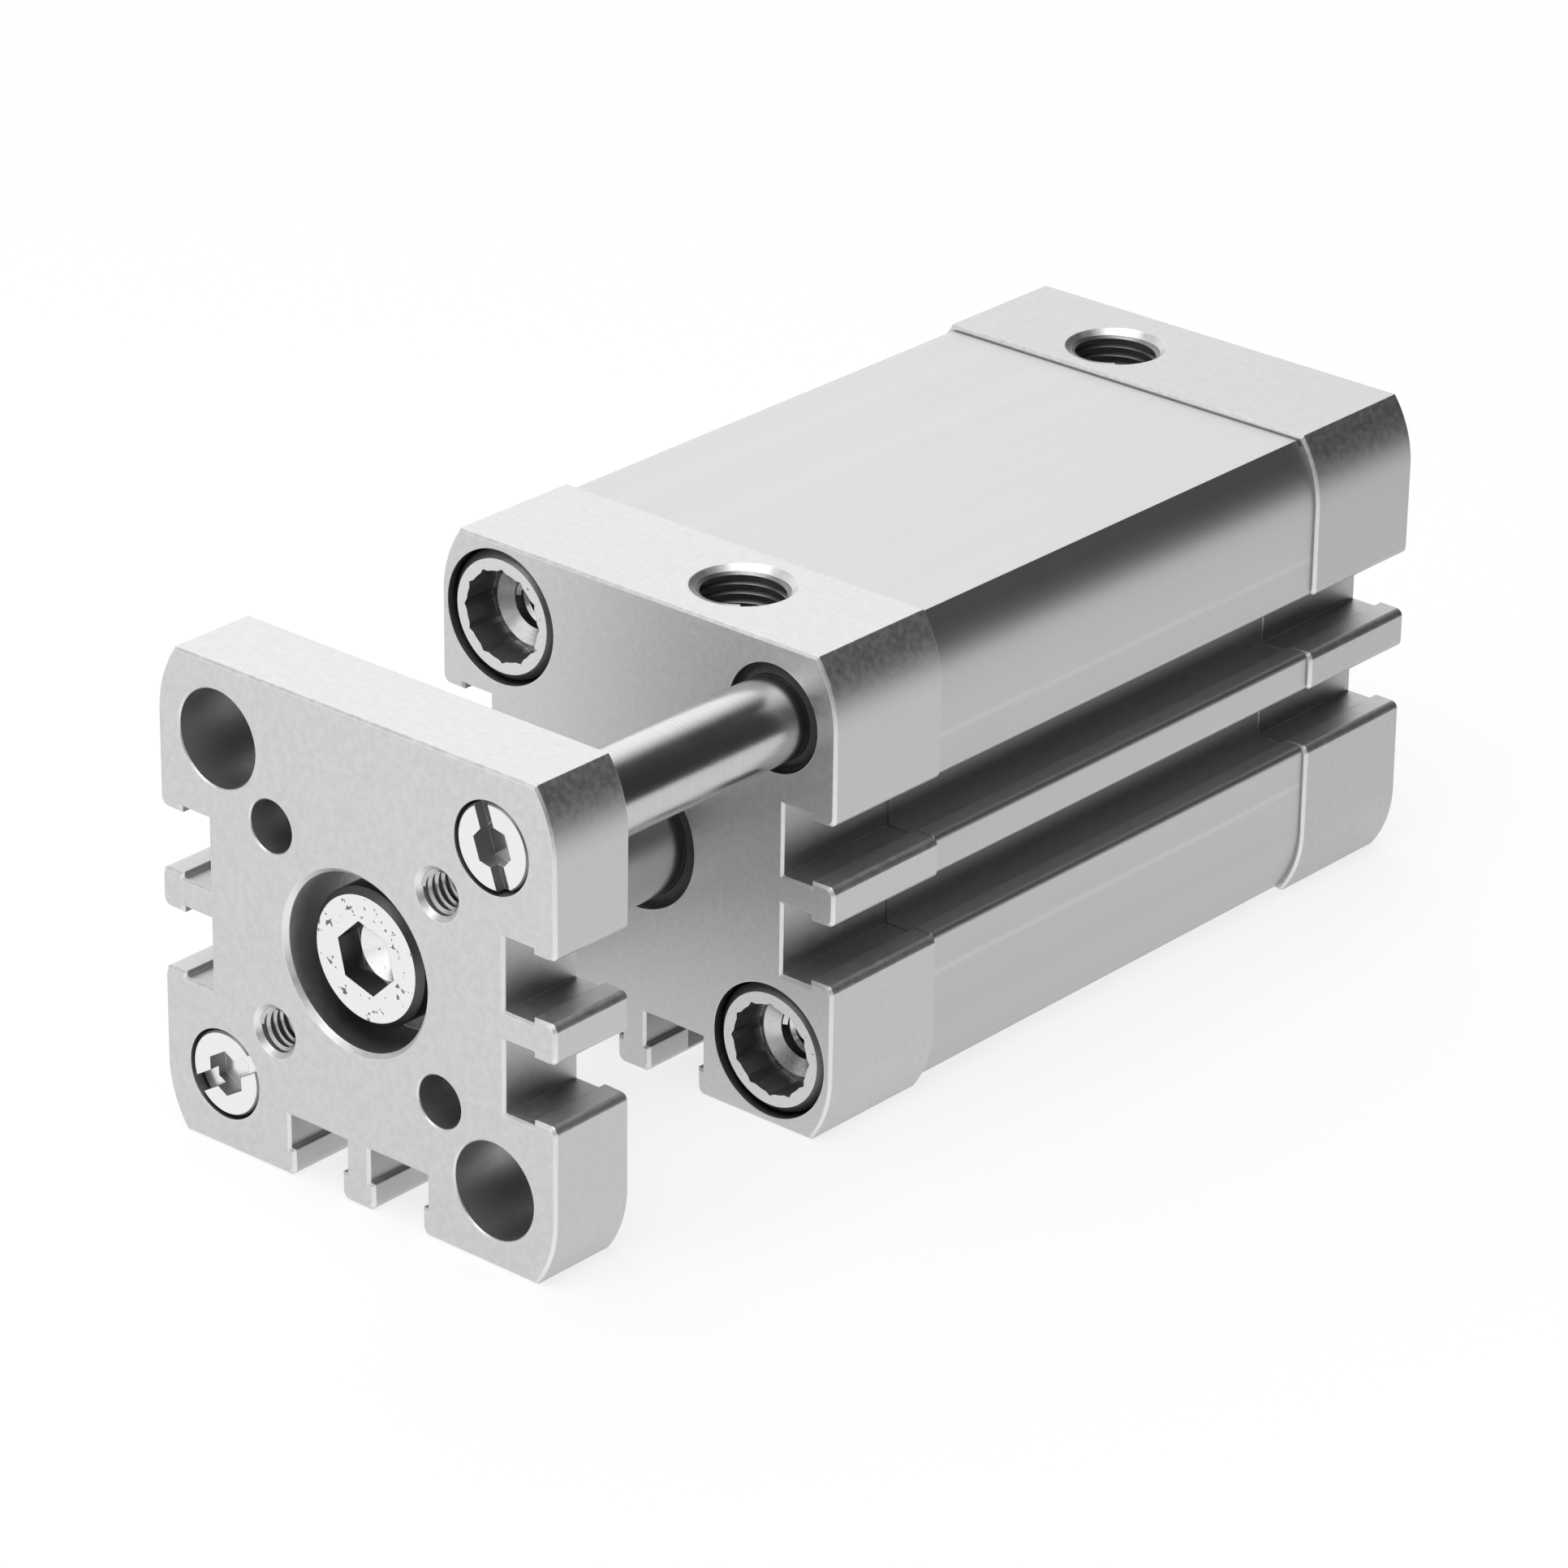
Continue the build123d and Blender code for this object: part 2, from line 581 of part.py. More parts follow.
# Piston halves: each with half the ring groove and a seal groove, clamped between shoulder and screw
for side, towards in (("front", 1), ("rear", -1)):
    middle = station(piston_middle)
    seal_edge = station(piston_middle + towards * seal_groove_start)
    with BuildPart() as piston_side:
        extrude(discs(middle, piston_radius), amount=towards * piston_half)
        wear_groove = ring(middle, piston_radius, wear_groove_radius)
        extrude(wear_groove, amount=towards * wear_groove_half, mode=Mode.SUBTRACT)
        seal_groove = ring(seal_edge, piston_radius, seal_groove_radius)
        extrude(seal_groove, amount=towards * seal_groove_width, mode=Mode.SUBTRACT)
        magnet_seat = ring(middle, magnet_outer_radius + magnet_gap, magnet_inner_radius - magnet_gap)
        extrude(magnet_seat, amount=towards * (magnet_width / 2 + magnet_gap), mode=Mode.SUBTRACT)
        spigot_hole = discs(middle, rod_spigot_radius + seat_clearance)
        extrude(spigot_hole, amount=towards * piston_half, mode=Mode.SUBTRACT)
        if side == "front":
            seal_pocket_radius = rod_spigot_radius + piston_rod_seal_section + piston_rod_seal_gap
            seal_pocket = discs(middle, seal_pocket_radius)
            pocket_depth = piston_rod_seal_section + piston_rod_seal_gap
            extrude(seal_pocket, amount=pocket_depth, mode=Mode.SUBTRACT)
            shoulder_seat = discs(station(rod_shoulder), rod_diameter / 2 + seat_clearance)
            extrude(shoulder_seat, amount=rod_shoulder_depth, mode=Mode.SUBTRACT)
        else:
            head_radius = piston_screw_head_diameter / 2 + piston_screw_side_gap
            head_seat = discs(station(screw_floor), head_radius)
            extrude(head_seat, amount=-(screw_floor - piston_back), mode=Mode.SUBTRACT)
    finish(piston_side, f"piston_{side}_half")

    # Lip seal in that half's groove, with its notch towards the pressure
    with BuildPart() as lip_seal:
        seal_inner = seal_groove_radius + seat_clearance
        seal_outer = bore_diameter / 2 - piston_seal_clearance
        seal_near = piston_middle + towards * (seal_middle - piston_seal_width / 2)
        seal_far = piston_middle + towards * (seal_middle + piston_seal_width / 2)
        notch_radius = (seal_inner + seal_outer) / 2
        with BuildSketch(section_at((0, 0))):
            with BuildLine():
                Polyline(
                    (seal_inner, seal_near),
                    (piston_radius, seal_near),
                    (seal_outer, seal_far - towards * piston_seal_notch),
                    (seal_outer, seal_far),
                    (notch_radius + piston_seal_notch, seal_far),
                    (notch_radius, seal_far - towards * piston_seal_notch),
                    (notch_radius - piston_seal_notch, seal_far),
                    (seal_inner, seal_far),
                    close=True,
                )
            make_face()
        revolve(axis=Axis.Y)
    finish(lip_seal, f"{side}_piston_seal")

# Wear ring and magnet ring, held between the piston halves
with BuildPart() as wear_ring:
    wear_outer = bore_diameter / 2 - wear_ring_clearance
    wear_inner = wear_groove_radius + seat_clearance
    wear_face = ring(station(piston_middle), wear_outer, wear_inner)
    extrude(wear_face, amount=wear_ring_width / 2, both=True)
finish(wear_ring, "wear_ring")

with BuildPart() as magnet_ring:
    magnet_face = ring(station(piston_middle), magnet_outer_radius, magnet_inner_radius)
    extrude(magnet_face, amount=magnet_width / 2, both=True)
finish(magnet_ring, "magnet_ring")

# Small ring that seals the piston to the rod's spigot
rod_seal_radius = rod_spigot_radius + piston_rod_seal_section / 2 + seat_clearance
rod_seal_middle = piston_middle + (piston_rod_seal_section + piston_rod_seal_gap) / 2
finish(round_ring(rod_seal_radius, piston_rod_seal_section, rod_seal_middle), "piston_rod_seal")

# Piston screw: clamps both halves against the rod's shoulder
piston_screw_face = rear_face.offset(-(piston_back + piston_screw_recess))
with BuildPart() as piston_screw:
    head = discs(piston_screw_face, piston_screw_head_diameter / 2)
    extrude(head, amount=-piston_screw_head_height)
    chamfer(piston_screw.edges().sort_by(Axis.Y)[-1], piston_screw_head_chamfer)
    shank = discs(station(screw_floor), piston_screw_diameter / 2)
    extrude(shank, amount=rod_spigot_end_gap + piston_screw_engagement)
    socket = hexagons(piston_screw_face, piston_screw_flats)
    extrude(socket, amount=-piston_screw_socket_depth, mode=Mode.SUBTRACT)
finish(piston_screw, "piston_screw")
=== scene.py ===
import bmesh
import bpy
from math import hypot, pi, radians
from mathutils import Euler, Matrix, Vector


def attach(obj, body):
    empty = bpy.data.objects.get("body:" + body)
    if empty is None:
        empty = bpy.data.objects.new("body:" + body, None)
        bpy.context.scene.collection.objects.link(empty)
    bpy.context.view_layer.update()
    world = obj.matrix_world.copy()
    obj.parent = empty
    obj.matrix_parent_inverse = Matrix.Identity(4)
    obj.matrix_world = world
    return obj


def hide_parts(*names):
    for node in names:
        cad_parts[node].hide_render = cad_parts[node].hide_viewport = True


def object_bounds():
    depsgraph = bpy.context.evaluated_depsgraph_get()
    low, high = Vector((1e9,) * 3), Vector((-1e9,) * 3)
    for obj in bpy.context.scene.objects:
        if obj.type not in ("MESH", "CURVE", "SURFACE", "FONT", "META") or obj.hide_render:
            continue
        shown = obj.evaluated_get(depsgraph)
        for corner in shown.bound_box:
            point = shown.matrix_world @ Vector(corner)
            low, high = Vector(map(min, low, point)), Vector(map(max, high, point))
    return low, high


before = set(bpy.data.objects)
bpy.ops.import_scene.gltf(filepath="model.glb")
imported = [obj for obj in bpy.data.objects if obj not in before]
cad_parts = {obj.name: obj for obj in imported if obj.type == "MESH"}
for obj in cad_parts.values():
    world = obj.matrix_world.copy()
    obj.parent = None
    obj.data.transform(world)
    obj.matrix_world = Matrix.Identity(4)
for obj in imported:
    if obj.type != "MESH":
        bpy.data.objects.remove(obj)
cad_low, cad_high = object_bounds()

# Barrel: an aluminium extrusion, bored for the piston, sawn to length and clear anodised.
# The die leaves faint lines along it, and the anodising makes it smooth and slightly grey.
# It is clamped between the two caps, which stand a hair proud of it on every side.


def add(tree, kind, **settings):
    """Adds a node, with its settings by attribute name."""
    node = tree.nodes.new(kind)
    for name, value in settings.items():
        setattr(node, name, value)
    return node


def feed(tree, node, values):
    """Fills a node's inputs in order from sockets or plain values. None leaves one as it is."""
    for socket, value in zip(node.inputs, values):
        if isinstance(value, bpy.types.NodeSocket):
            tree.links.new(value, socket)
        elif value is not None:
            socket.default_value = value


def math(tree, operation, first, second=None):
    """Adds a Math node on sockets or plain numbers, and returns its output."""
    node = add(tree, "ShaderNodeMath", operation=operation)
    feed(tree, node, (first, second))
    return node.outputs[0]


def vector_math(tree, operation, first, second=None):
    """Adds a Vector Math node on sockets or plain vectors, and returns it."""
    node = add(tree, "ShaderNodeVectorMath", operation=operation)
    feed(tree, node, (first, second))
    return node


def cosine(tree, first, second):
    """How closely two directions agree, from 1 down to -1."""
    return vector_math(tree, "DOT_PRODUCT", first, second).outputs["Value"]


def squareness(tree):
    """How squarely a face looks along the cylinder: 1 on its ends and 0 on its sides."""
    flat = add(tree, "ShaderNodeNewGeometry")
    return math(tree, "ABSOLUTE", cosine(tree, flat.outputs["Normal"], (0.0, 1.0, 0.0)))


def position(tree):
    """The place on the cylinder as outputs X, Y and Z. Y runs along it and Z points up."""
    place = add(tree, "ShaderNodeTexCoord")
    parts = add(tree, "ShaderNodeSeparateXYZ")
    tree.links.new(place.outputs["Object"], parts.inputs["Vector"])
    return parts.outputs


def spread(tree, value, low, high, to_low, to_high, smooth=False):
    """Maps a value from one range to another, and returns the result."""
    node = add(tree, "ShaderNodeMapRange")
    if smooth:
        node.interpolation_type = "SMOOTHSTEP"
    tree.links.new(value, node.inputs["Value"])
    limits = {"From Min": low, "From Max": high, "To Min": to_low, "To Max": to_high}
    for name, number in limits.items():
        node.inputs[name].default_value = number
    return node.outputs["Result"]


def shader_group(name, inputs, outputs):
    """Starts a shader node group. Inputs give a first number or vector, outputs a socket type."""
    tree = bpy.data.node_groups.new(name, "ShaderNodeTree")
    for label, value in inputs.items():
        kind = "NodeSocketVector" if isinstance(value, tuple) else "NodeSocketFloat"
        socket = tree.interface.new_socket(label, in_out="INPUT", socket_type=kind)
        socket.default_value = value
    for label, kind in outputs.items():
        tree.interface.new_socket(label, in_out="OUTPUT", socket_type=kind)
    return tree, tree.nodes.new("NodeGroupInput"), tree.nodes.new("NodeGroupOutput")


def place_group(tree, group, **values):
    """Places a shader node group in a material, with its inputs by name."""
    node = add(tree, "ShaderNodeGroup", node_tree=group)
    for name, value in values.items():
        node.inputs[name.replace("_", " ")].default_value = value
    return node


def streak_group():
    """Noise drawn out along the cylinder: what a die or a grinding stone leaves."""
    tree, given, result = shader_group(
        "Streaks", {"Across": 2500.0, "Along": 20.0}, {"Height": "NodeSocketFloat"}
    )
    place = add(tree, "ShaderNodeTexCoord")
    scale = add(tree, "ShaderNodeCombineXYZ")
    for axis, size in (("X", "Across"), ("Y", "Along"), ("Z", "Across")):
        tree.links.new(given.outputs[size], scale.inputs[axis])
    stretched = vector_math(tree, "MULTIPLY", place.outputs["Object"], scale.outputs["Vector"])
    noise = add(tree, "ShaderNodeTexNoise")
    noise.inputs["Scale"].default_value = 1.0
    noise.inputs["Detail"].default_value = 3.0
    tree.links.new(stretched.outputs["Vector"], noise.inputs["Vector"])
    tree.links.new(noise.outputs["Fac"], result.inputs["Height"])
    return tree


def grain_group():
    """Fine and coarse noise: the matt grain of tumbled or anodised metal, and its cloudiness."""
    tree, given, result = shader_group(
        "Grain",
        {"Fine": 6000.0, "Cloud": 260.0},
        {"Height": "NodeSocketFloat", "Cloud": "NodeSocketFloat"},
    )
    place = add(tree, "ShaderNodeTexCoord")
    for size, output, detail in (("Fine", "Height", 2.0), ("Cloud", "Cloud", 5.0)):
        noise = add(tree, "ShaderNodeTexNoise")
        noise.inputs["Detail"].default_value = detail
        tree.links.new(place.outputs["Object"], noise.inputs["Vector"])
        tree.links.new(given.outputs[size], noise.inputs["Scale"])
        tree.links.new(noise.outputs["Fac"], result.inputs[output])
    return tree


def edge_group():
    """Rounds the sharp edges for the light, and finds where they are."""
    on_edge, on_face = 0.88, 0.995
    tree, given, result = shader_group(
        "Broken edge",
        {"Radius": 0.00012},
        {"Normal": "NodeSocketVector", "Edge": "NodeSocketFloat"},
    )
    rounded = add(tree, "ShaderNodeBevel", samples=6)
    tree.links.new(given.outputs["Radius"], rounded.inputs["Radius"])
    flat = add(tree, "ShaderNodeNewGeometry")
    agreement = cosine(tree, rounded.outputs["Normal"], flat.outputs["Normal"])
    edge = spread(tree, agreement, on_edge, on_face, 1.0, 0.0)
    tree.links.new(rounded.outputs["Normal"], result.inputs["Normal"])
    tree.links.new(edge, result.inputs["Edge"])
    return tree


def slot_group():
    """Finds the walls of the sensor slots in the left, right and under side, as a mask that grows
    further in, for painted light and shade on them.
    """
    deepest_wall, first_shade = 0.0165, 0.05
    tree, given, result = shader_group(
        "Slot wall",
        {"Skin": 0.0235, "Half reach": 0.0085, "Fade": 0.001},
        {"Mask": "NodeSocketFloat"},
    )
    place = position(tree)
    across = math(tree, "ABSOLUTE", place["X"])
    up = math(tree, "ABSOLUTE", place["Z"])
    down = math(tree, "MULTIPLY", place["Z"], -1.0)
    walls = []
    for inward, along in ((across, up), (down, across)):
        depth = math(tree, "SUBTRACT", given.outputs["Skin"], inward)
        depth = math(tree, "DIVIDE", depth, given.outputs["Fade"])
        shade = spread(tree, depth, first_shade, 1.0, 0.0, 1.0, smooth=True)
        near = math(tree, "LESS_THAN", along, given.outputs["Half reach"])
        near = math(tree, "MULTIPLY", near, math(tree, "GREATER_THAN", inward, deepest_wall))
        walls.append(math(tree, "MULTIPLY", shade, near))
    sides = math(tree, "SUBTRACT", 1.0, squareness(tree))
    mask = math(tree, "MULTIPLY", math(tree, "MAXIMUM", *walls), sides)
    tree.links.new(mask, result.inputs["Mask"])
    return tree


streaks, grain, broken_edge, slot_wall = streak_group(), grain_group(), edge_group(), slot_group()


def surface(name):
    """Starts a material and returns it, its tree and its Principled shader."""
    material = bpy.data.materials.new(name)
    material.use_nodes = True
    tree = material.node_tree
    return material, tree, tree.nodes["Principled BSDF"]


def blend(tree, value, first, second):
    """Mixes two colours, or sockets that carry one, by a value from 0 to 1."""
    mix = add(tree, "ShaderNodeMix", data_type="RGBA")
    tree.links.new(value, mix.inputs["Factor"])
    for side, colour in (("A", first), ("B", second)):
        if isinstance(colour, bpy.types.NodeSocket):
            tree.links.new(colour, mix.inputs[side])
        else:
            mix.inputs[side].default_value = (*colour, 1.0)
    return mix.outputs["Result"]


def tint(tree, shader, value, dark, light):
    """Colours the shader between two colours, or sockets, by a value from 0 to 1."""
    tree.links.new(blend(tree, value, dark, light), shader.inputs["Base Color"])


def relief(tree, shader, height, depth, strength, under=None):
    """Raises the surface by a height from 0 to 1 times a depth in metres."""
    bump = add(tree, "ShaderNodeBump")
    bump.inputs["Distance"].default_value = depth
    bump.inputs["Strength"].default_value = strength
    tree.links.new(height, bump.inputs["Height"])
    if under is not None:
        tree.links.new(under, bump.inputs["Normal"])
    tree.links.new(bump.outputs["Normal"], shader.inputs["Normal"])


barrel_half, outer_skin = 0.02305, 0.0225
seam_height, rear_joint = 0.0117, 0.0148
line_dark, line_light = (0.525, 0.53, 0.535), (0.62, 0.62, 0.625)
# The slot grey is painted light in the barrel's slots, and the joint grey is a painted shadow.
barrel_slot_painted_light, joint_painted_shadow = (0.57, 0.57, 0.575), (0.1, 0.1, 0.1)
noise_range, line_tone = (0.3, 0.7), (0.05, 0.3)
line_relief, barrel_gloss = (0.000012, 0.06), (0.405, 0.415)


def thin_line(tree, offset, outward, core, fade, strength):
    """A thin line where the offset is near zero, kept to the skin by the outward coordinate."""
    line = spread(tree, math(tree, "ABSOLUTE", offset), core, fade, strength, 0.0, smooth=True)
    return math(tree, "MULTIPLY", line, math(tree, "GREATER_THAN", outward, outer_skin))


def anodised_extrusion():
    """Faint die lines, a fine seam above and below the slots, a painted highlight on broken edges,
    painted light in the slots, and a painted shadow line at the joint with the end cap.
    """
    material, tree, shader = surface("anodised_extrusion")
    shader.inputs["Metallic"].default_value = 1.0
    lines = place_group(tree, streaks, Across=420.0, Along=4.0)
    fine = place_group(tree, grain, Fine=9000.0, Cloud=160.0)
    edge = place_group(tree, broken_edge, Radius=0.00010)
    slot = place_group(tree, slot_wall, Skin=barrel_half)
    place = position(tree)
    from_seam = math(tree, "SUBTRACT", math(tree, "ABSOLUTE", place["Z"]), seam_height)
    sideways = math(tree, "ABSOLUTE", place["X"])
    seam = thin_line(tree, from_seam, sideways, core=0.0001, fade=0.0005, strength=0.55)
    tone = spread(tree, lines.outputs["Height"], *noise_range, *line_tone)
    # Broken edges lighten the tone as a painted highlight; the seam lightens it too.
    tone = math(tree, "ADD", tone, math(tree, "ADD", edge.outputs["Edge"], seam))
    metal = blend(tree, tone, line_dark, line_light)
    # Slot walls are painted a little lighter than the barrel, as painted light in the shaded slots.
    metal = blend(tree, slot.outputs["Mask"], metal, barrel_slot_painted_light)
    # A painted shadow line darkens the barrel's skin at its joint with the end cap.
    from_joint = math(tree, "ADD", place["Y"], rear_joint)
    joint = thin_line(tree, from_joint, place["Z"], core=0.00012, fade=0.00035, strength=0.85)
    tint(tree, shader, joint, metal, joint_painted_shadow)
    gloss = spread(tree, fine.outputs["Cloud"], *noise_range, *barrel_gloss)
    tree.links.new(gloss, shader.inputs["Roughness"])
    relief(tree, shader, lines.outputs["Height"], *line_relief, under=edge.outputs["Normal"])
    return material


slot_mouths, lip_radius, lip_steps = (0.00195, 0.00775), 0.0006, 4
same_point, same_plane, lip_miss = 0.000001, radians(0.5), 0.00037
sharp_edge, flat_enough = radians(30), 0.9999


def round_lips(name, half, material, body):
    """Copies a CAD piece with the mouths of its sensor slots rounded off. Half is half its width.
    The copy is shaded flat on its flat faces, and smooth on the rounds and the holes."""
    shape = bmesh.new()
    shape.from_mesh(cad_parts[name].data)
    bmesh.ops.remove_doubles(shape, verts=shape.verts, dist=same_point)
    bmesh.ops.dissolve_limit(shape, angle_limit=same_plane, verts=shape.verts, edges=shape.edges)
    mouths = [side * mouth for side in (-1, 1) for mouth in slot_mouths]
    lips = [(side * half, mouth) for side in (-1, 1) for mouth in mouths]
    lips += [(mouth, -half) for mouth in mouths]
    edges = []
    for edge in shape.edges:
        for x, z in lips:
            if all(hypot(end.co.x - x, end.co.z - z) < lip_miss for end in edge.verts):
                edges.append(edge)
    bmesh.ops.bevel(
        shape,
        geom=edges,
        offset=lip_radius,
        offset_type="OFFSET",
        segments=lip_steps,
        profile=0.5,
        affect="EDGES",
    )
    mesh = bpy.data.meshes.new(name + "_rounded")
    shape.to_mesh(mesh)
    shape.free()
    if mesh.has_custom_normals:
        mesh.attributes.remove(mesh.attributes["custom_normal"])
    mesh.materials.append(material)
    mesh.set_sharp_from_angle(angle=sharp_edge)
    for face in mesh.polygons:
        face.use_smooth = max(abs(part) for part in face.normal) < flat_enough
    piece = bpy.data.objects.new(name + "_rounded", mesh)
    bpy.context.scene.collection.objects.link(piece)
    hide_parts(name)
    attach(piece, body)


round_lips("barrel", barrel_half, anodised_extrusion(), "cylinder_body")

# Caps: the bearing cap in front and the end cap behind, milled from aluminium and tumbled.
# They are clear anodised, so they are matt with a fine grain, and broken edges carry a painted
# highlight.
# Collar screws pull them against the barrel, and the air ports are tapped in their top faces.


def hole_group():
    """Finds the wall of round holes whose axis lies at a centre, mirrored to either side."""
    on_wall, off_wall = 0.1, 0.6
    tree, given, result = shader_group(
        "Hole wall",
        {"Centre": (0.0, 0.0, 0.0), "Axis": (0.0, 0.0, 0.0), "Radius": 0.0},
        {"Mask": "NodeSocketFloat"},
    )
    place = add(tree, "ShaderNodeTexCoord")
    flat = add(tree, "ShaderNodeNewGeometry")
    mirrored = vector_math(tree, "ABSOLUTE", place.outputs["Object"]).outputs["Vector"]
    offset = vector_math(tree, "SUBTRACT", mirrored, given.outputs["Centre"]).outputs["Vector"]
    across = vector_math(tree, "SUBTRACT", (1.0, 1.0, 1.0), given.outputs["Axis"])
    reach = vector_math(tree, "MULTIPLY", offset, across.outputs["Vector"]).outputs["Vector"]
    distance = vector_math(tree, "LENGTH", reach).outputs["Value"]
    near = math(tree, "LESS_THAN", distance, given.outputs["Radius"])
    along = math(tree, "ABSOLUTE", cosine(tree, flat.outputs["Normal"], given.outputs["Axis"]))
    side = spread(tree, along, on_wall, off_wall, 1.0, 0.0)
    tree.links.new(math(tree, "MULTIPLY", near, side), result.inputs["Mask"])
    return tree


hole_wall = hole_group()
upwards, lengthwise = (0.0, 0.0, 1.0), (0.0, 1.0, 0.0)
cap_half = 0.0235
dark_step, light_step = (-0.045, -0.042, -0.037), (0.035, 0.035, 0.039)
# The slot grey is painted shade, and the bright grey is a painted highlight on edges.
slot_painted_shade, slot_share, edge_painted_highlight = (0.2, 0.2, 0.2), 0.2, (0.93, 0.93, 0.935)
cloud_range, cloud_tone, cap_gloss = (0.35, 0.65), (0.0, 0.8), (0.42, 0.49)
chamfer_range, upright_range, edge_glint = (0.5, 0.9), (0.3, 0.6), (0.85, 0.15)
level_floor, hole_dullness, tumbled_relief = 0.9, 0.08, (0.000009, 0.5)


def tumbled_aluminium(name, holes, grey):
    """Satin cap metal of a mean grey, a little duller and painted darker as shade in slots, and
    with painted greys for light and shade in holes.
    Holes give centre, axis, radius, the painted grey of walls that face sideways and the darker
    painted shadow grey of walls that face up.
    Broken edges and chamfers that stand upright get a painted highlight."""
    material, tree, shader = surface(name)
    shader.inputs["Metallic"].default_value = 1.0
    slots = place_group(tree, slot_wall, Skin=cap_half).outputs["Mask"]
    slots = math(tree, "MULTIPLY", slots, slot_share)
    fine = place_group(tree, grain, Fine=3600.0, Cloud=1500.0)
    edge = place_group(tree, broken_edge, Radius=0.00014)
    tone = spread(tree, fine.outputs["Cloud"], *cloud_range, *cloud_tone)
    dark = tuple(grey + step for step in dark_step)
    light = tuple(grey + step for step in light_step)
    # Slot walls are painted darker as shade, a fifth of the way towards a dark grey.
    metal = blend(tree, slots, blend(tree, tone, dark, light), slot_painted_shade)
    level = cosine(tree, edge.outputs["Normal"], upwards)
    facing_up = spread(tree, level, 0.0, level_floor, 0.0, 1.0)
    walls = slots
    # Hole walls are painted with their own greys as light and shade; walls that face up get a
    # darker painted shadow.
    for centre, axis, radius, sideways_wall_shade, upward_wall_shadow in holes:
        wall = place_group(tree, hole_wall, Centre=centre, Axis=axis, Radius=radius)
        painted_wall_shade = blend(tree, facing_up, (sideways_wall_shade,) * 3, (upward_wall_shadow,) * 3)
        metal = blend(tree, wall.outputs["Mask"], metal, painted_wall_shade)
        walls = math(tree, "MAXIMUM", walls, wall.outputs["Mask"])
    # Chamfers and broken edges that stand upright are painted bright as a highlight; level ones get
    # less of it.
    square = squareness(tree)
    least, most = chamfer_range
    chamfer = math(tree, "GREATER_THAN", square, least)
    chamfer = math(tree, "MULTIPLY", chamfer, math(tree, "LESS_THAN", square, most))
    chamfer = math(tree, "MULTIPLY", chamfer, math(tree, "SUBTRACT", 1.0, walls))
    slope = math(tree, "ABSOLUTE", level)
    rim = math(tree, "MAXIMUM", edge.outputs["Edge"], chamfer)
    rim = math(tree, "MULTIPLY", rim, spread(tree, slope, *upright_range, *edge_glint))
    tint(tree, shader, rim, metal, edge_painted_highlight)
    gloss = spread(tree, fine.outputs["Cloud"], *cloud_range, *cap_gloss)
    gloss = math(tree, "ADD", gloss, math(tree, "MULTIPLY", walls, hole_dullness))
    tree.links.new(gloss, shader.inputs["Roughness"])
    relief(tree, shader, fine.outputs["Height"], *tumbled_relief, under=edge.outputs["Normal"])
    return material


port_places = ((0.006, -0.0763), (-0.006, -0.0084))
port_reach, counterbore_reach = 0.0047, 0.0066
corner = 0.01625
# The port and counterbore walls of the caps are painted dark greys as shade.
cap_wall_shades = (0.22, 0.2)
cap_holes = [((abs(x), abs(y), 0.0), upwards, port_reach, *cap_wall_shades) for x, y in port_places]
cap_holes.append(((corner, 0.0, corner), lengthwise, counterbore_reach, *cap_wall_shades))
front_metal = tumbled_aluminium("tumbled_bearing_cap", cap_holes, grey=0.63)
# The end cap is the same metal painted a darker grey, as painted shade where less light falls on
# it.
shaded_end_cap_metal = tumbled_aluminium("tumbled_end_cap_shaded", cap_holes, grey=0.565)
round_lips("bearing_cap", cap_half, front_metal, "cylinder_body")
round_lips("end_cap", cap_half, shaded_end_cap_metal, "cylinder_body")

# Port threads: G1/8 threads cut in the two air ports on top.
# Each is a single helix of sharp ridges, fixed to the wall of its hole.
# One tree makes every thread of the cylinder from its radius, pitch, length and ridge.

steps_per_turn, ridge_corners, ridge_share, sharp_crest = 48, 4, 0.5, radians(35)


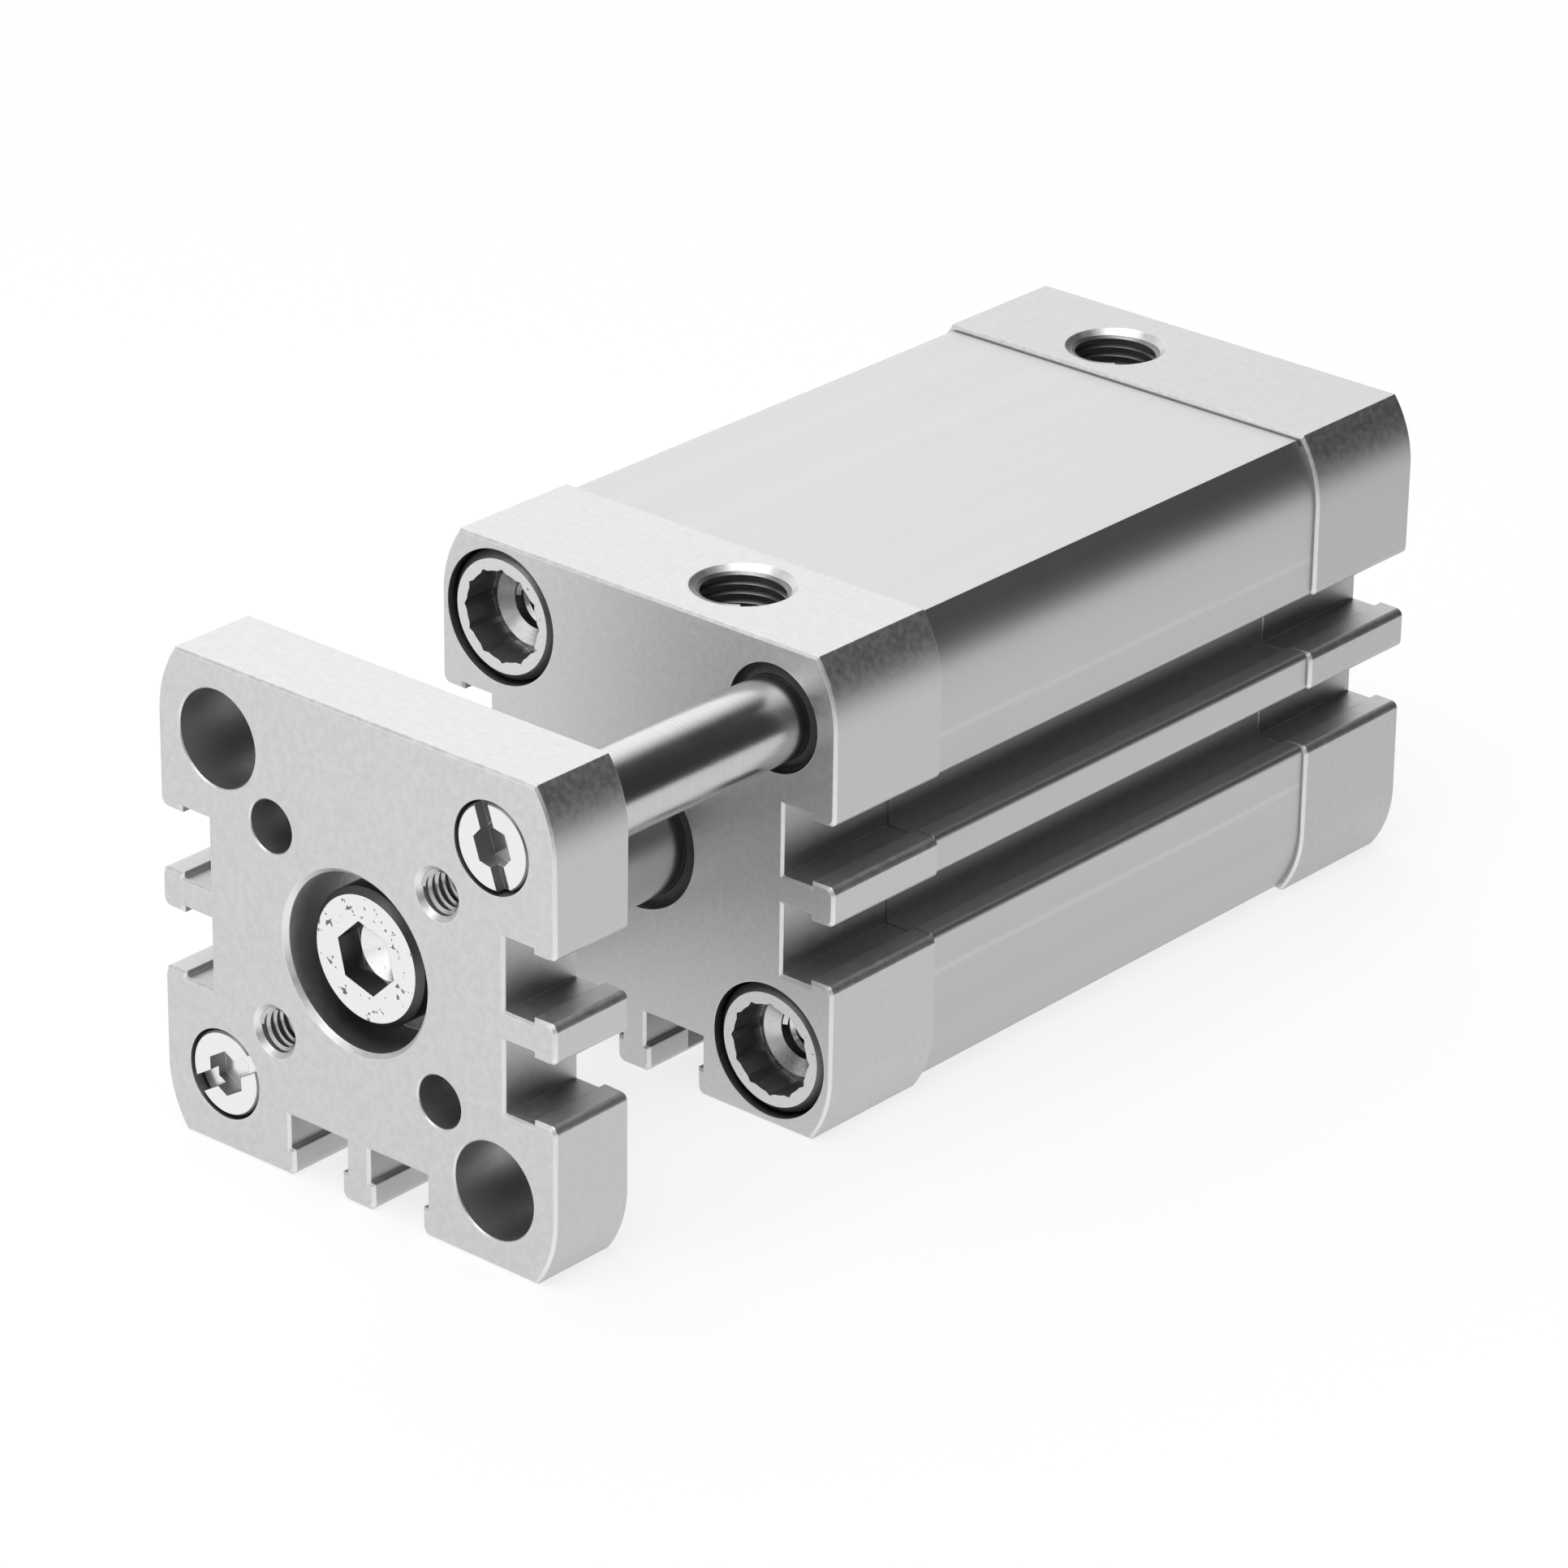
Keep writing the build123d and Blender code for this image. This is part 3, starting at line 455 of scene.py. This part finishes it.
def thread_tree():
    """Geometry tree: a threaded lining for each point of the mesh, wound along a turned Z axis.
    The ridges are half a pitch wide and wind to the right."""
    tree = bpy.data.node_groups.new("Thread lining", "GeometryNodeTree")
    tree.interface.new_socket("Geometry", in_out="INPUT", socket_type="NodeSocketGeometry")
    tree.interface.new_socket("Geometry", in_out="OUTPUT", socket_type="NodeSocketGeometry")
    kinds = {label: "NodeSocketFloat" for label in ("Wall Radius", "Pitch", "Length", "Ridge")}
    kinds.update({"Facing": "NodeSocketRotation", "Finish": "NodeSocketMaterial"})
    sockets = {}
    for label, kind in kinds.items():
        sockets[label] = tree.interface.new_socket(label, in_out="INPUT", socket_type=kind)
    given, result = tree.nodes.new("NodeGroupInput"), tree.nodes.new("NodeGroupOutput")
    turns = math(tree, "DIVIDE", given.outputs["Length"], given.outputs["Pitch"])
    helix = add(tree, "GeometryNodeCurveSpiral")
    helix.inputs["Resolution"].default_value = steps_per_turn
    helix.inputs["Reverse"].default_value = True
    tree.links.new(turns, helix.inputs["Rotations"])
    for end in ("Start Radius", "End Radius"):
        tree.links.new(given.outputs["Wall Radius"], helix.inputs[end])
    tree.links.new(given.outputs["Length"], helix.inputs["Height"])
    upright = add(tree, "GeometryNodeSetCurveNormal", mode="Z_UP")
    tree.links.new(helix.outputs["Curve"], upright.inputs["Curve"])
    ridge = add(tree, "GeometryNodeCurvePrimitiveCircle", mode="RADIUS")
    ridge.inputs["Resolution"].default_value = ridge_corners
    ridge.inputs["Radius"].default_value = 1.0
    half_ridge = math(tree, "MULTIPLY", given.outputs["Pitch"], ridge_share / 2)
    shape = add(tree, "ShaderNodeCombineXYZ")
    tree.links.new(given.outputs["Ridge"], shape.inputs["X"])
    tree.links.new(half_ridge, shape.inputs["Y"])
    section = add(tree, "GeometryNodeTransform")
    tree.links.new(ridge.outputs["Curve"], section.inputs["Geometry"])
    tree.links.new(shape.outputs["Vector"], section.inputs["Scale"])
    wound = add(tree, "GeometryNodeCurveToMesh")
    wound.inputs["Fill Caps"].default_value = True
    tree.links.new(upright.outputs["Curve"], wound.inputs["Curve"])
    tree.links.new(section.outputs["Geometry"], wound.inputs["Profile Curve"])
    holes = add(tree, "GeometryNodeInstanceOnPoints")
    tree.links.new(given.outputs["Geometry"], holes.inputs["Points"])
    tree.links.new(wound.outputs["Mesh"], holes.inputs["Instance"])
    tree.links.new(given.outputs["Facing"], holes.inputs["Rotation"])
    real = add(tree, "GeometryNodeRealizeInstances")
    tree.links.new(holes.outputs["Instances"], real.inputs["Geometry"])
    coated = add(tree, "GeometryNodeSetMaterial")
    tree.links.new(real.outputs["Geometry"], coated.inputs["Geometry"])
    tree.links.new(given.outputs["Finish"], coated.inputs["Material"])
    tree.links.new(coated.outputs["Geometry"], result.inputs["Geometry"])
    return tree, {label: socket.identifier for label, socket in sockets.items()}


thread_lining, thread_sockets = thread_tree()


def cut_threads(name, inner_ends, facing, finish, slot, body, **sizes):
    """Makes the threads that start at the inner ends and run out along the facing, as one piece."""
    points = bpy.data.meshes.new(name + "_points")
    points.from_pydata(inner_ends, [], [])
    holder = bpy.data.objects.new(name + "_holder", points)
    bpy.context.scene.collection.objects.link(holder)
    modifier = holder.modifiers.new("thread", "NODES")
    modifier.node_group = thread_lining
    modifier[thread_sockets["Facing"]] = facing
    modifier[thread_sockets["Finish"]] = finish
    for label, value in sizes.items():
        modifier[thread_sockets[label.replace("_", " ")]] = value
    bpy.context.view_layer.update()
    evaluated = holder.evaluated_get(bpy.context.evaluated_depsgraph_get())
    mesh = bpy.data.meshes.new_from_object(evaluated)
    bpy.data.objects.remove(holder)
    mesh.shade_smooth()
    mesh.set_sharp_from_angle(angle=sharp_crest)
    piece = bpy.data.objects.new(name, mesh)
    bpy.context.scene.collection.objects.link(piece)
    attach(piece, body)


def cut_metal(name, dark, light, roughness):
    """Freshly cut thread flanks: bare, smooth metal with a fine grain."""
    material, tree, shader = surface(name)
    shader.inputs["Metallic"].default_value = 1.0
    fine = place_group(tree, grain, Fine=4200.0, Cloud=1500.0)
    tint(tree, shader, fine.outputs["Cloud"], dark, light)
    shader.inputs["Roughness"].default_value = roughness
    relief(tree, shader, fine.outputs["Height"], depth=0.000006, strength=0.4)
    return material


upright, forward, backward = (0.0, 0.0, 0.0), (pi / 2, 0.0, 0.0), (-pi / 2, 0.0, 0.0)
port_thread_floor, port_thread_top = 0.01789, 0.0232
# The port threads are painted dark greys as shade, for the dim inside of the ports.
port_shaded_dark, port_shaded_light = (0.16, 0.16, 0.162), (0.24, 0.24, 0.243)
cut_threads(
    "port_threads",
    [(x, y, port_thread_floor) for x, y in port_places],
    upright,
    cut_metal("cut_port_thread", port_shaded_dark, port_shaded_light, roughness=0.33),
    "cap_aluminium",
    "cylinder_body",
    Wall_Radius=0.00428,
    Pitch=0.000907,
    Length=port_thread_top - port_thread_floor,
    Ridge=0.00036,
)

# Collar screws: plated steel screws with a large head and a twelve-point socket.
# Two hold the bearing cap and four the end cap, sunk in their counterbores.
# An M6 thread inside each head takes the screws that mount the cylinder.


def dress(material, *names):
    """Puts a material on CAD pieces."""
    for name in names:
        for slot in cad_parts[name].material_slots:
            slot.material = material


def turning_group():
    """Rings that a lathe tool leaves on a face, and the distance from the screw's centre."""
    tree, given, result = shader_group(
        "Turning marks",
        {"Centre": 0.0, "Spacing": 0.0002},
        {"Height": "NodeSocketFloat", "Distance": "NodeSocketFloat"},
    )
    place = position(tree)
    squares = []
    for axis in ("X", "Z"):
        off = math(tree, "ABSOLUTE", place[axis])
        off = math(tree, "SUBTRACT", off, given.outputs["Centre"])
        squares.append(math(tree, "MULTIPLY", off, off))
    radius = math(tree, "SQRT", math(tree, "ADD", *squares))
    tree.links.new(radius, result.inputs["Distance"])
    turns = math(tree, "MULTIPLY", radius, 2 * pi)
    turns = math(tree, "DIVIDE", turns, given.outputs["Spacing"])
    rings = spread(tree, math(tree, "SINE", turns), -1.0, 1.0, 0.0, 1.0)
    tree.links.new(rings, result.inputs["Height"])
    return tree


turning_marks = turning_group()
pit_ring, ring_core, ring_fade, battering = 0.0046, 0.0002, 0.0012, 0.07
# The rim grey is a painted highlight; the pit grey is the pits' own colour.
pit_grey, rim_painted_highlight, pit_softness = (0.16, 0.155, 0.15), (0.9, 0.895, 0.885), 0.05
wall_range, wall_dullness, gloss_change, ring_depth = (0.74, 0.86), 0.25, 0.08, 0.5


def plated_steel(name, centre, face_grey, painted_wall_shade, roughness, pitting):
    """Plated steel, turned about centres at plus and minus a distance, with duller walls painted
    darker as shade.
    The face has rims painted bright as a highlight, and pits where its noise lies below the
    pitting, most of them on a ring round the socket."""
    material, tree, shader = surface(name)
    shader.inputs["Metallic"].default_value = 1.0
    marks = place_group(tree, turning_marks, Centre=centre, Spacing=0.00023)
    fine = place_group(tree, grain, Fine=3400.0, Cloud=1700.0)
    edge = place_group(tree, broken_edge, Radius=0.00009)
    from_ring = math(tree, "SUBTRACT", marks.outputs["Distance"], pit_ring)
    from_ring = math(tree, "ABSOLUTE", from_ring)
    battered = spread(tree, from_ring, ring_core, ring_fade, battering, 0.0)
    hollows = math(tree, "SUBTRACT", fine.outputs["Cloud"], battered)
    plain = spread(tree, hollows, pitting, pitting + pit_softness, 0.0, 1.0, smooth=True)
    # Walls, in the socket and round the head, are painted a darker grey as shade, and are duller.
    walls = spread(tree, squareness(tree), *wall_range, 1.0, 0.0)
    front = math(tree, "SUBTRACT", 1.0, walls)
    metal = blend(tree, walls, blend(tree, plain, pit_grey, face_grey), painted_wall_shade)
    # Rims on the face side of edges are painted bright as a highlight.
    rim = math(tree, "MULTIPLY", edge.outputs["Edge"], front)
    tint(tree, shader, rim, metal, rim_painted_highlight)
    dullest = roughness + gloss_change
    gloss = spread(tree, fine.outputs["Height"], *noise_range, roughness, dullest)
    gloss = math(tree, "ADD", gloss, math(tree, "MULTIPLY", walls, wall_dullness))
    tree.links.new(gloss, shader.inputs["Roughness"])
    rings = math(tree, "MULTIPLY", marks.outputs["Height"], ring_depth)
    height = math(tree, "ADD", rings, fine.outputs["Height"])
    height = math(tree, "MULTIPLY", height, front)
    relief(tree, shader, height, depth=0.000006, strength=0.3, under=edge.outputs["Normal"])
    return material


# The collar screws' walls are painted a dark grey as shade.
collar_face, collar_painted_shade = (0.66, 0.655, 0.65), (0.2, 0.2, 0.2)
collar_metal = plated_steel(
    "plated_collar_screws", corner, collar_face, collar_painted_shade, roughness=0.22, pitting=0.2
)
dress(collar_metal, "bearing_cap_screws", "end_cap_screws")
steel_dark, steel_light = (0.50, 0.495, 0.49), (0.85, 0.845, 0.84)
thread_metal = cut_metal("cut_steel_thread", steel_dark, steel_light, roughness=0.16)
front_thread_end, rear_thread_end = -0.0685, -0.0155
collar_thread = {"Wall_Radius": 0.0025, "Pitch": 0.001, "Ridge": 0.0004, "Length": 0.0105}
cut_threads(
    "front_collar_threads",
    [(-corner, front_thread_end, corner), (corner, front_thread_end, -corner)],
    forward,
    thread_metal,
    "bright_steel",
    "cylinder_body",
    **collar_thread,
)
cut_threads(
    "rear_collar_threads",
    [(x, rear_thread_end, z) for x in (-corner, corner) for z in (-corner, corner)],
    backward,
    thread_metal,
    "bright_steel",
    "cylinder_body",
    **collar_thread,
)

# Bushes, wipers and seals: rolled bearing strip and black nitrile rubber.
# The bushes are pressed into the bearing cap, and the wipers sit in its face round the rods.
# The joint seals, the buffers and the piston's rings are hidden once the barrel is closed.

rubber_dark, rubber_light = (0.012, 0.012, 0.012), (0.035, 0.035, 0.036)
strip_dark, strip_light = (0.30, 0.27, 0.22), (0.52, 0.47, 0.40)
rubber_gloss = (0.45, 0.62)


def black_rubber():
    """Moulded rubber, matt, with a fine grain that varies its gloss."""
    material, tree, shader = surface("black_rubber")
    fine = place_group(tree, grain, Fine=4200.0, Cloud=600.0)
    tint(tree, shader, fine.outputs["Cloud"], rubber_dark, rubber_light)
    gloss = spread(tree, fine.outputs["Height"], *noise_range, *rubber_gloss)
    tree.links.new(gloss, shader.inputs["Roughness"])
    relief(tree, shader, fine.outputs["Height"], depth=0.00001, strength=0.6)
    return material


def bearing_strip():
    """Sintered bronze on a steel back, clouded by its dry coating."""
    material, tree, shader = surface("bearing_strip")
    shader.inputs["Metallic"].default_value = 1.0
    fine = place_group(tree, grain, Fine=5000.0, Cloud=700.0)
    tint(tree, shader, fine.outputs["Cloud"], strip_dark, strip_light)
    shader.inputs["Roughness"].default_value = 0.5
    relief(tree, shader, fine.outputs["Height"], depth=0.00001, strength=0.6)
    return material


rubber = black_rubber()
dress(rubber, "rod_wiper", "upper_guide_wiper", "lower_guide_wiper")
dress(rubber, "front_joint_seal", "rear_joint_seal", "front_buffer", "rear_buffer")
dress(rubber, "front_piston_seal", "rear_piston_seal", "piston_rod_seal")
dress(bearing_strip(), "rod_bush", "upper_guide_bush", "lower_guide_bush")

# Piston: two turned aluminium halves that hold a magnet and a plastic wear ring between them.
# A screw from behind clamps them to the rod's shoulder.
# All of it runs inside the barrel, out of sight.


def moulded(name, dark, light, roughness):
    """Plain moulded or sintered finish, with a fine grain."""
    material, tree, shader = surface(name)
    fine = place_group(tree, grain, Fine=5000.0, Cloud=500.0)
    tint(tree, shader, fine.outputs["Cloud"], dark, light)
    shader.inputs["Roughness"].default_value = roughness
    relief(tree, shader, fine.outputs["Height"], depth=0.000008, strength=0.6)
    return material


turned_face, turned_wall = (0.70, 0.70, 0.71), (0.55, 0.55, 0.56)
piston_metal = plated_steel(
    "turned_aluminium", 0.0, turned_face, turned_wall, roughness=0.28, pitting=0.1
)
dress(piston_metal, "piston_front_half", "piston_rear_half", "piston_screw")
darkest, dark_grey, mid_grey = (0.05, 0.05, 0.05), (0.10, 0.10, 0.10), (0.20, 0.20, 0.20)
dress(moulded("wear_plastic", dark_grey, mid_grey, roughness=0.5), "wear_ring")
dress(moulded("magnet", darkest, dark_grey, roughness=0.6), "magnet_ring")

# Rods: the piston rod and the two guide rods, hardened steel, ground and polished.
# The stone runs round them, so fine lines lie across the axis and draw the highlights out.
# The guide rods seat in the back of the yoke plate, and all three slide through the bearing cap.

ground_dark, ground_light = (0.50, 0.497, 0.49), (0.62, 0.617, 0.61)
rod_gloss = (0.22, 0.27)


def ground_steel():
    """Bright steel with close grinding lines round the rod."""
    material, tree, shader = surface("ground_steel")
    shader.inputs["Metallic"].default_value = 1.0
    lines = place_group(tree, streaks, Across=90.0, Along=9000.0)
    fine = place_group(tree, grain, Fine=4000.0, Cloud=300.0)
    tint(tree, shader, lines.outputs["Height"], ground_dark, ground_light)
    gloss = spread(tree, fine.outputs["Cloud"], *noise_range, *rod_gloss)
    tree.links.new(gloss, shader.inputs["Roughness"])
    relief(tree, shader, lines.outputs["Height"], depth=0.000002, strength=0.25)
    return material


dress(ground_steel(), "piston_rod", "upper_guide_rod", "lower_guide_rod")

# Yoke plate and its screws: the plate is milled and tumbled like the caps.
# A socket screw in the bore clamps it to the piston rod, and a slotted screw to each guide rod.
# Two M5 threads beside the bore take the load's screws.

plate_half, plate_thread, plate_thread_end = 0.0235, 0.0099, -0.1109
access_reach, thread_reach, bore_reach = 0.00465, 0.00255, 0.00835
# Each hole's walls are painted their own greys as light and shade; walls that face up take a darker
# painted shadow.
plate_holes = [
    ((corner, 0.0, corner), lengthwise, access_reach, 0.48, 0.24),
    ((plate_thread, 0.0, plate_thread), lengthwise, thread_reach, 0.5, 0.26),
    ((0.0, 0.0, 0.0), lengthwise, bore_reach, 0.85, 0.16),
]
plate_metal = tumbled_aluminium("tumbled_plate", plate_holes, grey=0.64)
round_lips("yoke_plate", plate_half, plate_metal, "guided_rod")

bright_face = (0.84, 0.835, 0.825)
# The socket and slit walls are painted dark greys as shade.
socket_painted_shade, slit_painted_shade = (0.12, 0.118, 0.116), (0.34, 0.337, 0.333)
yoke_metal = plated_steel(
    "plated_yoke_screw", 0.0, bright_face, socket_painted_shade, roughness=0.14, pitting=0.3
)
guide_metal = plated_steel(
    "plated_guide_screws", corner, bright_face, slit_painted_shade, roughness=0.18, pitting=0.2
)
dress(yoke_metal, "yoke_screw")
dress(guide_metal, "guide_rod_screws")
plate_dark, plate_light = (0.42, 0.42, 0.425), (0.64, 0.64, 0.645)
cut_threads(
    "plate_threads",
    [(side * plate_thread, plate_thread_end, side * plate_thread) for side in (1, -1)],
    forward,
    cut_metal("cut_plate_thread", plate_dark, plate_light, roughness=0.2),
    "cap_aluminium",
    "guided_rod",
    Wall_Radius=0.0021,
    Pitch=0.0008,
    Length=0.0084,
    Ridge=0.0003,
)

# Studio: a white floor that the cylinder lies on, and a sky with one large soft light.
# The light stands behind on the left, and the side behind on the right stays dim.
# Metal and camera see the floor as white, and it keeps the cylinder's shadow.

floor_white, floor_glow = (0.86, 0.86, 0.86, 1.0), 0.80


def white_floor():
    """Matt white that reflections and the camera see partly as a glow, so it stays white."""
    material, tree, shader = surface("white_floor")
    shader.inputs["Base Color"].default_value = floor_white
    shader.inputs["Roughness"].default_value = 0.9
    glow = add(tree, "ShaderNodeEmission")
    ray = add(tree, "ShaderNodeLightPath")
    seen = math(tree, "ADD", ray.outputs["Is Glossy Ray"], ray.outputs["Is Transmission Ray"])
    seen = math(tree, "MINIMUM", math(tree, "ADD", seen, ray.outputs["Is Camera Ray"]), 1.0)
    share = math(tree, "MULTIPLY", seen, floor_glow)
    mix = add(tree, "ShaderNodeMixShader")
    feed(tree, mix, (share, shader.outputs["BSDF"], glow.outputs["Emission"]))
    tree.links.new(mix.outputs["Shader"], tree.nodes["Material Output"].inputs["Surface"])
    return material


floor_half, floor_height = 0.28, cad_low.z
floor_corners = [(-1, -1), (1, -1), (1, 1), (-1, 1)]
floor_mesh = bpy.data.meshes.new("floor")
floor_mesh.from_pydata(
    [(x * floor_half, y * floor_half, floor_height) for x, y in floor_corners],
    [],
    [(0, 1, 2, 3)],
)
floor_mesh.materials.append(white_floor())
floor = bpy.data.objects.new("floor", floor_mesh)
bpy.context.scene.collection.objects.link(floor)


def toward(tree, direction, low, high, bright):
    """Soft patch of sky: bright where the direction is close, and nothing beyond the low cosine."""
    place = add(tree, "ShaderNodeTexCoord")
    close = cosine(tree, place.outputs["Generated"], Vector(direction).normalized())
    return spread(tree, close, low, high, 0.0, bright, smooth=True)


world = bpy.data.worlds.new("studio")
world.use_nodes = True
bpy.context.scene.world = world
sky = world.node_tree
back_left = toward(sky, (-0.78, 0.45, 0.45), low=0.55, high=0.95, bright=1.40)
overhead = toward(sky, (0.1, 0.0, 0.99), low=0.85, high=0.98, bright=0.60)
front = toward(sky, (-0.4, -0.9, -0.1), low=0.55, high=0.95, bright=1.30)
dimmest = 0.05
patches = math(sky, "ADD", back_left, overhead)
light = math(sky, "ADD", patches, math(sky, "ADD", front, dimmest))
ray = add(sky, "ShaderNodeLightPath")
backdrop = math(sky, "MAXIMUM", light, ray.outputs["Is Camera Ray"])
background = sky.nodes["Background"]
background.inputs["Color"].default_value = (1.0, 1.0, 1.0, 1.0)
sky.links.new(backdrop, background.inputs["Strength"])

lamp = bpy.data.lights.new("overhead_lamp", "AREA")
lamp.shape = "RECTANGLE"
lamp.size, lamp.size_y, lamp.energy = 1.2, 1.2, 18.0
lamp_place = Vector((0.1, -0.45, 1.3))
lamp_object = bpy.data.objects.new("overhead_lamp", lamp)
lamp_object.location = lamp_place
lamp_object.rotation_euler = lamp_place.to_track_quat("Z", "Y").to_euler()
bpy.context.scene.collection.objects.link(lamp_object)
bpy.context.scene.view_settings.view_transform = "Standard"

# Camera: a long lens in front on the right, looking down at the yoke plate.
# Its place, direction and roll were fitted to corners and hole centres of the photograph.

azimuth, elevation, roll = radians(40.674), radians(24.885), radians(0.758)
standpoint = (0.37260, -0.49705, 0.26299)
camera = bpy.data.cameras.new("camera")
camera.sensor_width, camera.lens = 36.0, 157.77
camera.clip_start, camera.clip_end = 0.05, 20.0
viewer = bpy.data.objects.new("camera", camera)
bpy.context.scene.collection.objects.link(viewer)
aim = Euler((pi / 2 - elevation, 0.0, azimuth)).to_matrix().to_4x4()
viewer.matrix_world = Matrix.Translation(standpoint) @ aim @ Matrix.Rotation(roll, 4, "Z")
bpy.context.scene.camera = viewer
